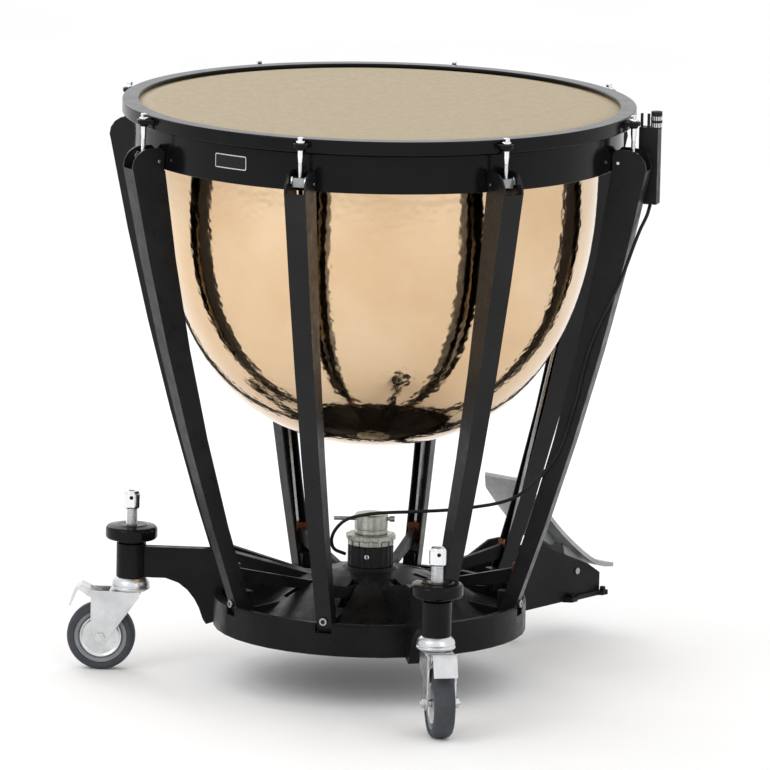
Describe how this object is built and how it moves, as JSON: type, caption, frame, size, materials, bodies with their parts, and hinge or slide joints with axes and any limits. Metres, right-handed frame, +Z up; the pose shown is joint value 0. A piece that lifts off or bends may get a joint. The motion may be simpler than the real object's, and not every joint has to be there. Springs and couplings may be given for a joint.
{
  "type": "pedal timpani drum",
  "caption": "Pedal-tuned kettledrum: copper bowl hung in black struts, head under a hoop with tuning rods, pedal linkage, gauge and lockable casters.",
  "frame": {"origin": "on the floor directly under the bowl's vertical axis, between the three standing points", "axes": "+Z up along the bowl's axis, +X towards the pedal, +Y to the left of a player who faces the drum from behind the pedal"},
  "size_m": [0.8918, 0.7536, 0.851],
  "materials": {
    "black_enamel": "satin black enamel",
    "chrome_plate": "polished",
    "bright_steel": "bright drawn",
    "zinc_plate": "satin zinc plate",
    "copper": "polished, finely hammered copper",
    "head_film": "translucent matte film",
    "rubber": "matte",
    "cast_aluminium": "satin cast",
    "black_plastic": "satin"
  },
  "bodies": {
    "frame": {"base_casting": "black_enamel", "hub_housing": "black_enamel", "balance_spring": "bright_steel", "strut_1": "black_enamel", "strut_2": "black_enamel", "strut_3": "black_enamel", "strut_4": "black_enamel", "strut_5": "black_enamel", "strut_6": "black_enamel", "strut_7": "black_enamel", "strut_8": "black_enamel", "collar_ring": "black_enamel", "bowl": "copper", "drum_head": "head_film", "pedal_housing": "black_enamel", "rear_foot": "rubber", "gauge_body": "black_plastic", "gauge_cable": "black_plastic"},
    "pedal": {"footplate": "cast_aluminium"},
    "draw_rod": {"draw_rod": "bright_steel"},
    "crank": {"hub_crank": "bright_steel"},
    "spider": {"spider": "black_enamel", "pull_rod_1": "bright_steel", "pull_rod_2": "bright_steel", "pull_rod_3": "bright_steel", "pull_rod_4": "bright_steel", "pull_rod_5": "bright_steel", "pull_rod_6": "bright_steel", "pull_rod_7": "bright_steel", "pull_rod_8": "bright_steel"},
    "hoop": {"counterhoop": "black_enamel"},
    "rocker_1": {"rocker_1": "chrome_plate"},
    "rocker_2": {"rocker_2": "chrome_plate"},
    "rocker_3": {"rocker_3": "chrome_plate"},
    "rocker_4": {"rocker_4": "chrome_plate"},
    "rocker_5": {"rocker_5": "chrome_plate"},
    "rocker_6": {"rocker_6": "chrome_plate"},
    "rocker_7": {"rocker_7": "chrome_plate"},
    "rocker_8": {"rocker_8": "chrome_plate"},
    "rod_1": {"tension_rod_1": "chrome_plate"},
    "rod_2": {"tension_rod_2": "chrome_plate"},
    "rod_3": {"tension_rod_3": "chrome_plate"},
    "rod_4": {"tension_rod_4": "chrome_plate"},
    "rod_5": {"tension_rod_5": "chrome_plate"},
    "rod_6": {"tension_rod_6": "chrome_plate"},
    "rod_7": {"tension_rod_7": "chrome_plate"},
    "rod_8": {"tension_rod_8": "chrome_plate"},
    "pointer": {"gauge_pointer": "bright_steel"},
    "lock_ring": {"lock_ring": "zinc_plate"},
    "knob": {"adjusting_knob": "zinc_plate"},
    "screw_left": {"levelling_screw_left": "chrome_plate"},
    "handwheel_left": {"lock_handwheel_left": "black_plastic"},
    "fork_left": {"caster_fork_left": "zinc_plate"},
    "wheel_left": {"caster_wheel_left": "rubber"},
    "brake_left": {"caster_brake_left": "zinc_plate"},
    "screw_right": {"levelling_screw_right": "chrome_plate"},
    "handwheel_right": {"lock_handwheel_right": "black_plastic"},
    "fork_right": {"caster_fork_right": "zinc_plate"},
    "wheel_right": {"caster_wheel_right": "rubber"},
    "brake_right": {"caster_brake_right": "zinc_plate"}
  },
  "joints": [
    {"name": "pedal_tilt", "type": "hinge", "parent": "frame", "child": "pedal", "pos_m": [0.436, 0, 0.098], "axis": [0, -1, 0], "range_deg": [0, 18]},
    {"name": "draw_rod_travel", "type": "slide", "parent": "frame", "child": "draw_rod", "axis": [1, 0, 0], "range_m": [0, 0.0105]},
    {"name": "crank_turn", "type": "hinge", "parent": "frame", "child": "crank", "pos_m": [0.047, 0, 0.095], "axis": [0, -1, 0], "range_deg": [0, 20]},
    {"name": "spider_travel", "type": "slide", "parent": "frame", "child": "spider", "axis": [0, 0, 1], "range_m": [-0.0091, 0], "deforming": ["balance_spring"]},
    {"name": "hoop_travel", "type": "slide", "parent": "frame", "child": "hoop", "axis": [0, 0, 1], "range_m": [-0.0091, 0], "deforming": ["drum_head"]},
    {"name": "rocker_1_swing", "type": "hinge", "parent": "frame", "child": "rocker_1", "pos_m": [0.33214, 0.13758, 0.781], "axis": [-0.3827, 0.9239, 0], "range_deg": [0, 28.9]},
    {"name": "rocker_2_swing", "type": "hinge", "parent": "frame", "child": "rocker_2", "pos_m": [0.13758, 0.33214, 0.781], "axis": [-0.9239, 0.3827, 0], "range_deg": [0, 28.9]},
    {"name": "rocker_3_swing", "type": "hinge", "parent": "frame", "child": "rocker_3", "pos_m": [-0.13758, 0.33214, 0.781], "axis": [-0.9239, -0.3827, 0], "range_deg": [0, 28.9]},
    {"name": "rocker_4_swing", "type": "hinge", "parent": "frame", "child": "rocker_4", "pos_m": [-0.33214, 0.13758, 0.781], "axis": [-0.3827, -0.9239, 0], "range_deg": [0, 28.9]},
    {"name": "rocker_5_swing", "type": "hinge", "parent": "frame", "child": "rocker_5", "pos_m": [-0.33214, -0.13758, 0.781], "axis": [0.3827, -0.9239, 0], "range_deg": [0, 28.9]},
    {"name": "rocker_6_swing", "type": "hinge", "parent": "frame", "child": "rocker_6", "pos_m": [-0.13758, -0.33214, 0.781], "axis": [0.9239, -0.3827, 0], "range_deg": [0, 28.9]},
    {"name": "rocker_7_swing", "type": "hinge", "parent": "frame", "child": "rocker_7", "pos_m": [0.13758, -0.33214, 0.781], "axis": [0.9239, 0.3827, 0], "range_deg": [0, 28.9]},
    {"name": "rocker_8_swing", "type": "hinge", "parent": "frame", "child": "rocker_8", "pos_m": [0.33214, -0.13758, 0.781], "axis": [0.3827, 0.9239, 0], "range_deg": [0, 28.9]},
    {"name": "rod_1_turn", "type": "hinge", "parent": "hoop", "child": "rod_1", "pos_m": [0.3483, 0.14427, 0.823], "axis": [0, 0, 1], "continuous": true},
    {"name": "rod_2_turn", "type": "hinge", "parent": "hoop", "child": "rod_2", "pos_m": [0.14427, 0.3483, 0.823], "axis": [0, 0, 1], "continuous": true},
    {"name": "rod_3_turn", "type": "hinge", "parent": "hoop", "child": "rod_3", "pos_m": [-0.14427, 0.3483, 0.823], "axis": [0, 0, 1], "continuous": true},
    {"name": "rod_4_turn", "type": "hinge", "parent": "hoop", "child": "rod_4", "pos_m": [-0.3483, 0.14427, 0.823], "axis": [0, 0, 1], "continuous": true},
    {"name": "rod_5_turn", "type": "hinge", "parent": "hoop", "child": "rod_5", "pos_m": [-0.3483, -0.14427, 0.823], "axis": [0, 0, 1], "continuous": true},
    {"name": "rod_6_turn", "type": "hinge", "parent": "hoop", "child": "rod_6", "pos_m": [-0.14427, -0.3483, 0.823], "axis": [0, 0, 1], "continuous": true},
    {"name": "rod_7_turn", "type": "hinge", "parent": "hoop", "child": "rod_7", "pos_m": [0.14427, -0.3483, 0.823], "axis": [0, 0, 1], "continuous": true},
    {"name": "rod_8_turn", "type": "hinge", "parent": "hoop", "child": "rod_8", "pos_m": [0.3483, -0.14427, 0.823], "axis": [0, 0, 1], "continuous": true},
    {"name": "pointer_swing", "type": "hinge", "parent": "frame", "child": "pointer", "pos_m": [0.19289, -0.34548, 0.743], "axis": [0.9239, 0.3827, 0], "range_deg": [0, 22.1]},
    {"name": "lock_ring_turn", "type": "hinge", "parent": "frame", "child": "lock_ring", "pos_m": [0, 0, 0.205], "axis": [0, 0, 1], "continuous": true},
    {"name": "knob_turn", "type": "hinge", "parent": "frame", "child": "knob", "pos_m": [0, 0, 0.23], "axis": [0, 0, 1], "range_deg": [-120, 0]},
    {"name": "screw_left_height", "type": "slide", "parent": "frame", "child": "screw_left", "axis": [0, 0, 1], "range_m": [-0.02, 0]},
    {"name": "handwheel_left_turn", "type": "hinge", "parent": "frame", "child": "handwheel_left", "pos_m": [-0.19853, 0.28459, 0.2], "axis": [0, 0, 1], "continuous": true},
    {"name": "caster_left_swivel", "type": "hinge", "parent": "screw_left", "child": "fork_left", "pos_m": [-0.19853, 0.28459, 0.13], "axis": [0, 0, 1], "continuous": true},
    {"name": "wheel_left_spin", "type": "hinge", "parent": "fork_left", "child": "wheel_left", "pos_m": [-0.22322, 0.31857, 0.0495], "axis": [-0.809, -0.5878, 0], "continuous": true},
    {"name": "brake_left_press", "type": "hinge", "parent": "fork_left", "child": "brake_left", "pos_m": [-0.22969, 0.32747, 0.112], "axis": [-0.809, -0.5878, 0], "range_deg": [0, 6]},
    {"name": "screw_right_height", "type": "slide", "parent": "frame", "child": "screw_right", "axis": [0, 0, 1], "range_m": [-0.02, 0]},
    {"name": "handwheel_right_turn", "type": "hinge", "parent": "frame", "child": "handwheel_right", "pos_m": [-0.19853, -0.28459, 0.2], "axis": [0, 0, 1], "continuous": true},
    {"name": "caster_right_swivel", "type": "hinge", "parent": "screw_right", "child": "fork_right", "pos_m": [-0.19853, -0.28459, 0.13], "axis": [0, 0, 1], "continuous": true},
    {"name": "wheel_right_spin", "type": "hinge", "parent": "fork_right", "child": "wheel_right", "pos_m": [-0.22609, -0.31629, 0.0495], "axis": [0.7547, -0.6561, 0], "continuous": true},
    {"name": "brake_right_press", "type": "hinge", "parent": "fork_right", "child": "brake_right", "pos_m": [-0.23331, -0.32459, 0.112], "axis": [0.7547, -0.6561, 0], "range_deg": [0, 6]}
  ],
  "couplings": [
    {"joint": "draw_rod_travel", "follows": "pedal_tilt", "m_per_rad": 0.033},
    {"joint": "crank_turn", "follows": "pedal_tilt", "ratio": 1.1},
    {"joint": "spider_travel", "follows": "pedal_tilt", "m_per_rad": -0.0286},
    {"joint": "hoop_travel", "follows": "pedal_tilt", "m_per_rad": -0.0286},
    {"joint": "pointer_swing", "follows": "pedal_tilt", "ratio": 1.22},
    {"joint": "rocker_1_swing", "follows": "pedal_tilt", "ratio": 1.6},
    {"joint": "rocker_2_swing", "follows": "pedal_tilt", "ratio": 1.6},
    {"joint": "rocker_3_swing", "follows": "pedal_tilt", "ratio": 1.6},
    {"joint": "rocker_4_swing", "follows": "pedal_tilt", "ratio": 1.6},
    {"joint": "rocker_5_swing", "follows": "pedal_tilt", "ratio": 1.6},
    {"joint": "rocker_6_swing", "follows": "pedal_tilt", "ratio": 1.6},
    {"joint": "rocker_7_swing", "follows": "pedal_tilt", "ratio": 1.6},
    {"joint": "rocker_8_swing", "follows": "pedal_tilt", "ratio": 1.6}
  ]
}
